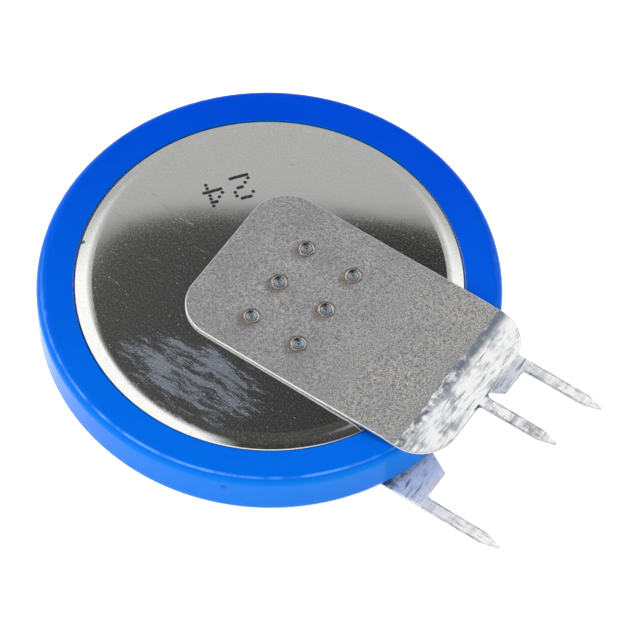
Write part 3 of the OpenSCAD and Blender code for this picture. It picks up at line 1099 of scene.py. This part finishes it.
bm = bmesh.new()
for number, digit in enumerate(PRINTED):
    for row, line in enumerate(DIGITS[digit]):
        for column, mark in enumerate(line):
            if mark == "1":
                drop(bm, number, column, row)
                if line[column + 1:column + 2] == "1":
                    drop(bm, number, column + 0.5, row)
ink_dots = place_piece(bm, "ink_digits", ink)
print("printed", PRINTED, "with", len(ink_dots.data.polygons), "faces")

# %% [markdown]
# ## Floor, world and lamps
# The picture was taken on a white ground in soft light, with nothing bright right
# overhead: the top of the sleeve is deep blue, and the cap mirrors a dark ceiling.
# Real screens and walls could be built round the cell, but a room drawn in the world's
# own shader gives the same mirror images and costs nothing to render.

# %% Floor
FLOOR_GLOW = 0.6
FLOOR_HALF = 3.0
floor_bm = bmesh.new()
bmesh.ops.create_grid(floor_bm, x_segments=1, y_segments=1, size=FLOOR_HALF)
bmesh.ops.translate(floor_bm, verts=floor_bm.verts, vec=(0, 0, cad_box[0].z))
floor_mesh = bpy.data.meshes.new("floor")
floor_bm.to_mesh(floor_mesh)
floor_bm.free()
floor = bpy.data.objects.new("floor", floor_mesh)
bpy.context.scene.collection.objects.link(floor)

# Matte white paper. It glows for the camera and for mirrors only, so it is an even
# white without lighting the cell from below
paper, tree, shader = new_material("white_paper")
shader.inputs["Base Color"].default_value = linear("F4F4F4")
shader.inputs["Roughness"].default_value = 0.9
shader.inputs["Emission Color"].default_value = (1, 1, 1, 1)
paths = add(tree, "ShaderNodeLightPath")
seen = paths.outputs["Is Camera Ray"]
for ray in ("Is Glossy Ray", "Is Transmission Ray"):
    seen = add(tree, "ShaderNodeMath", {
        0: seen, 1: paths.outputs[ray],
    }, operation="MAXIMUM").outputs["Value"]
glow = add(tree, "ShaderNodeMath", {0: seen, 1: FLOOR_GLOW}, operation="MULTIPLY")
tree.links.new(glow.outputs["Value"], shader.inputs["Emission Strength"])
floor_mesh.materials.append(paper)
print("floor at", round(cad_box[0].z / MM, 3), "mm")

# %% Far wall and ceiling
# A direction in the world is measured three ways: up, towards the camera along the
# floor, and to the camera's right
CAMERA_SIDE = Vector((CAMERA_PLACE.x, CAMERA_PLACE.y, 0)).normalized()
CAMERA_RIGHT = Vector((-CAMERA_SIDE.y, CAMERA_SIDE.x, 0))
FAR_WALL = 0.7
CEILING = 0.1
CEILING_START = 0.834
CEILING_FULL = 0.87

world = bpy.data.worlds.new("studio")
bpy.context.scene.world = world
world.use_nodes = True
tree = world.node_tree
tree.nodes.clear()
direction = add(tree, "ShaderNodeTexCoord").outputs["Generated"]
split = add(tree, "ShaderNodeSeparateXYZ", {"Vector": direction})
toward = add(tree, "ShaderNodeVectorMath", {
    0: direction, 1: CAMERA_SIDE,
}, operation="DOT_PRODUCT")
sideways = add(tree, "ShaderNodeVectorMath", {
    0: direction, 1: CAMERA_RIGHT,
}, operation="DOT_PRODUCT")
aside = add(tree, "ShaderNodeMath", {0: sideways.outputs["Value"]}, operation="ABSOLUTE")

# The far wall is light grey up to the dark ceiling, and darker towards the camera
backdrop = add(tree, "ShaderNodeMapRange", {
    "Value": split.outputs["Z"],
    "From Min": CEILING_START, "From Max": CEILING_FULL, "To Min": FAR_WALL, "To Max": CEILING,
}, interpolation_type="SMOOTHSTEP")
front = add(tree, "ShaderNodeMapRange", {
    "Value": toward.outputs["Value"],
    "From Min": 0.0, "From Max": 0.4, "To Min": 1.0, "To Max": 0.3,
}, interpolation_type="SMOOTHSTEP")
back_and_top = add(tree, "ShaderNodeMath", {
    0: backdrop.outputs["Result"], 1: front.outputs["Result"],
}, operation="MULTIPLY")
print("ceiling starts", round(math.degrees(math.asin(CEILING_START))), "degrees up")

# %% Window behind the camera
# It is low and lights the edges that face it
FRONT_SCREEN = 1.4
window = add(tree, "ShaderNodeMapRange", {
    "Value": toward.outputs["Value"], "From Min": 0.55, "From Max": 0.75,
}, interpolation_type="SMOOTHSTEP")
middle = add(tree, "ShaderNodeMix", {
    "Factor": window.outputs["Result"], "A": back_and_top.outputs["Value"], "B": FRONT_SCREEN,
}, data_type="FLOAT")
print("window is", FRONT_SCREEN, "times white")

# %% Side screens
# White screens stand on both sides. The left one leans in a little over the near half
# of the cell, and the right one ends before it gets there
SIDE_SCREENS = 1.6
lean_in = add(tree, "ShaderNodeMapRange", {
    "Value": toward.outputs["Value"], "From Min": -0.3, "From Max": 0.1, "To Max": 0.06,
}, interpolation_type="SMOOTHSTEP")
aside_leaning = add(tree, "ShaderNodeMath", {
    0: aside.outputs["Value"], 1: lean_in.outputs["Result"],
}, operation="ADD")
screen = add(tree, "ShaderNodeMapRange", {
    "Value": aside_leaning.outputs["Value"], "From Min": 0.15, "From Max": 0.33,
}, interpolation_type="SMOOTHSTEP")
screen_end = add(tree, "ShaderNodeMapRange", {
    "Value": toward.outputs["Value"], "From Min": -0.8, "From Max": -0.5,
}, interpolation_type="SMOOTHSTEP")
right_start = add(tree, "ShaderNodeMapRange", {
    "Value": toward.outputs["Value"],
    "From Min": -0.25, "From Max": 0.0, "To Min": 1.0, "To Max": 0.0,
}, interpolation_type="SMOOTHSTEP")
left_side = add(tree, "ShaderNodeMath", {
    0: sideways.outputs["Value"], 1: 0.0,
}, operation="LESS_THAN")
side_start = add(tree, "ShaderNodeMath", {
    0: left_side.outputs["Value"], 1: right_start.outputs["Result"],
}, operation="MAXIMUM")
screen_side = add(tree, "ShaderNodeMath", {
    0: screen.outputs["Result"], 1: side_start.outputs["Value"],
}, operation="MULTIPLY")
screens = add(tree, "ShaderNodeMath", {
    0: screen_side.outputs["Value"], 1: screen_end.outputs["Result"],
}, operation="MULTIPLY")
room = add(tree, "ShaderNodeMix", {
    "Factor": screens.outputs["Value"], "A": middle.outputs["Result"], "B": SIDE_SCREENS,
}, data_type="FLOAT")
print("side screens are", SIDE_SCREENS, "times white")

# %% White for the camera
# The camera itself sees plain white all round
sight = add(tree, "ShaderNodeLightPath")
strength = add(tree, "ShaderNodeMix", {
    "Factor": sight.outputs["Is Camera Ray"], "A": room.outputs["Result"], "B": 1.0,
}, data_type="FLOAT")
background = add(tree, "ShaderNodeBackground", {
    "Color": (1, 1, 1, 1), "Strength": strength.outputs["Result"],
})
add(tree, "ShaderNodeOutputWorld", {"Surface": background.outputs["Background"]})
print("room is lit by", len(tree.nodes), "nodes")

# %% [markdown]
# ## The mirrored card
# A polished face shows what hangs over it. In the picture that is a dark sheet with
# round corners and a soft edge, which leaves the far side of the cap bright. The world
# is infinitely far away and would show the same tone all over a flat cap, so the sheet
# is a real card at a real height. Its shape is written where it shows on the cap, and
# scaled up to where the card hangs.

# %% Card over the cell
CARD_HEIGHT = 100.0
CARD_SIZE = 60 * MM
camera_foot = Vector((CAMERA_PLACE.x, CAMERA_PLACE.y)) / MM
spread = 1 + (CARD_HEIGHT - cap_top) / (CAMERA_PLACE.z / MM - cap_top)
card_middle = camera_foot - camera_foot * spread

card_bm = bmesh.new()
bmesh.ops.create_grid(card_bm, x_segments=1, y_segments=1, size=CARD_SIZE)
bmesh.ops.translate(
    card_bm, verts=card_bm.verts, vec=Vector((card_middle.x, card_middle.y, CARD_HEIGHT)) * MM,
)
card_mesh = bpy.data.meshes.new("dark_card")
card_bm.to_mesh(card_mesh)
card_bm.free()
card = bpy.data.objects.new("dark_card", card_mesh)
bpy.context.scene.collection.objects.link(card)
for sense in ("camera", "diffuse", "transmission", "volume_scatter", "shadow"):
    setattr(card, "visible_" + sense, False)
print("card hangs", CARD_HEIGHT, "mm up, its middle at", [round(c, 1) for c in card_middle])

# %% From the card to the cap
# Each point of the card is taken down to where it shows on the cap, turned so that Y
# points away from the camera, and measured in half widths of the dark sheet
SHADE_CENTRE = Vector((0.8, -5.0))
SHADE_HALF = Vector((11.1, 9.4))
camera_turn = math.atan2(CAMERA_PLACE.x, -CAMERA_PLACE.y)

card_stuff = bpy.data.materials.new("dark_card")
card_stuff.use_nodes = True
tree = card_stuff.node_tree
tree.nodes.clear()
place = add(tree, "ShaderNodeTexCoord").outputs["Object"]
on_cap = add(tree, "ShaderNodeMapping", {
    "Vector": place,
    "Location": -Vector((card_middle.x, card_middle.y, 0)) * MM / spread,
    "Scale": (1 / spread, 1 / spread, 0),
})
turned = add(tree, "ShaderNodeVectorRotate", {
    "Vector": on_cap.outputs["Vector"], "Angle": -camera_turn,
}, rotation_type="Z_AXIS")
centred = add(tree, "ShaderNodeVectorMath", {
    0: turned.outputs["Vector"], 1: -Vector((SHADE_CENTRE.x, SHADE_CENTRE.y, 0)) * MM,
}, operation="ADD")
halves = add(tree, "ShaderNodeVectorMath", {
    0: centred.outputs["Vector"], 1: Vector((SHADE_HALF.x, SHADE_HALF.y, 1)) * MM,
}, operation="DIVIDE")
print("dark sheet shows", [round(2 * half, 1) for half in SHADE_HALF], "mm wide on the cap")

# %% Shape and tone of the card
# A square with round corners is where |x| and |y|, each to the power SHADE_POWER, add up
# to 1. Around it the card is clear
SHADE_POWER = 4.0
CARD_LEFT = 0.1
CARD_RIGHT = 0.045
axes = add(tree, "ShaderNodeSeparateXYZ", {"Vector": halves.outputs["Vector"]})
powers = []
for axis in "XY":
    size = add(tree, "ShaderNodeMath", {0: axes.outputs[axis]}, operation="ABSOLUTE")
    powers.append(add(tree, "ShaderNodeMath", {
        0: size.outputs["Value"], 1: SHADE_POWER,
    }, operation="POWER").outputs["Value"])
total = add(tree, "ShaderNodeMath", {0: powers[0], 1: powers[1]}, operation="ADD")
reach = add(tree, "ShaderNodeMath", {
    0: total.outputs["Value"], 1: 1 / SHADE_POWER,
}, operation="POWER")
shade = add(tree, "ShaderNodeMapRange", {
    "Value": reach.outputs["Value"],
    "From Min": 0.93, "From Max": 1.05, "To Min": 1.0, "To Max": 0.0,
}, interpolation_type="SMOOTHSTEP")
card_tone = add(tree, "ShaderNodeMapRange", {
    "Value": axes.outputs["X"],
    "From Min": -0.8, "From Max": 0.6, "To Min": CARD_LEFT, "To Max": CARD_RIGHT,
})
dark = add(tree, "ShaderNodeEmission", {
    "Color": (1, 1, 1, 1), "Strength": card_tone.outputs["Result"],
})
clear = add(tree, "ShaderNodeBsdfTransparent")
mixed = add(tree, "ShaderNodeMixShader", {
    "Fac": shade.outputs["Result"], 1: clear.outputs["BSDF"], 2: dark.outputs["Emission"],
})
add(tree, "ShaderNodeOutputMaterial", {"Surface": mixed.outputs["Shader"]})
card_mesh.materials.append(card_stuff)
print("dark sheet fades from", CARD_LEFT, "on the left to", CARD_RIGHT, "on the right")

# %% Lamps


def lamp(name, place, size, power):
    """A square area lamp that points at the cell and isn't itself mirrored."""
    data = bpy.data.lights.new(name, "AREA")
    data.size = size
    data.energy = power
    lamp_object = bpy.data.objects.new(name, data)
    lamp_object.location = place
    lamp_object.rotation_mode = "QUATERNION"
    lamp_object.rotation_quaternion = (-lamp_object.location).to_track_quat("-Z", "Y")
    lamp_object.visible_glossy = False
    bpy.context.scene.collection.objects.link(lamp_object)
    print(name, "lamp of", power, "W,", round(lamp_object.location.length, 2), "m away")


lamp("key", Vector((-0.35, 0.25, 0.6)), 0.5, 2.0)
lamp("fill", Vector((0.4, -0.3, 0.25)), 0.3, 0.6)
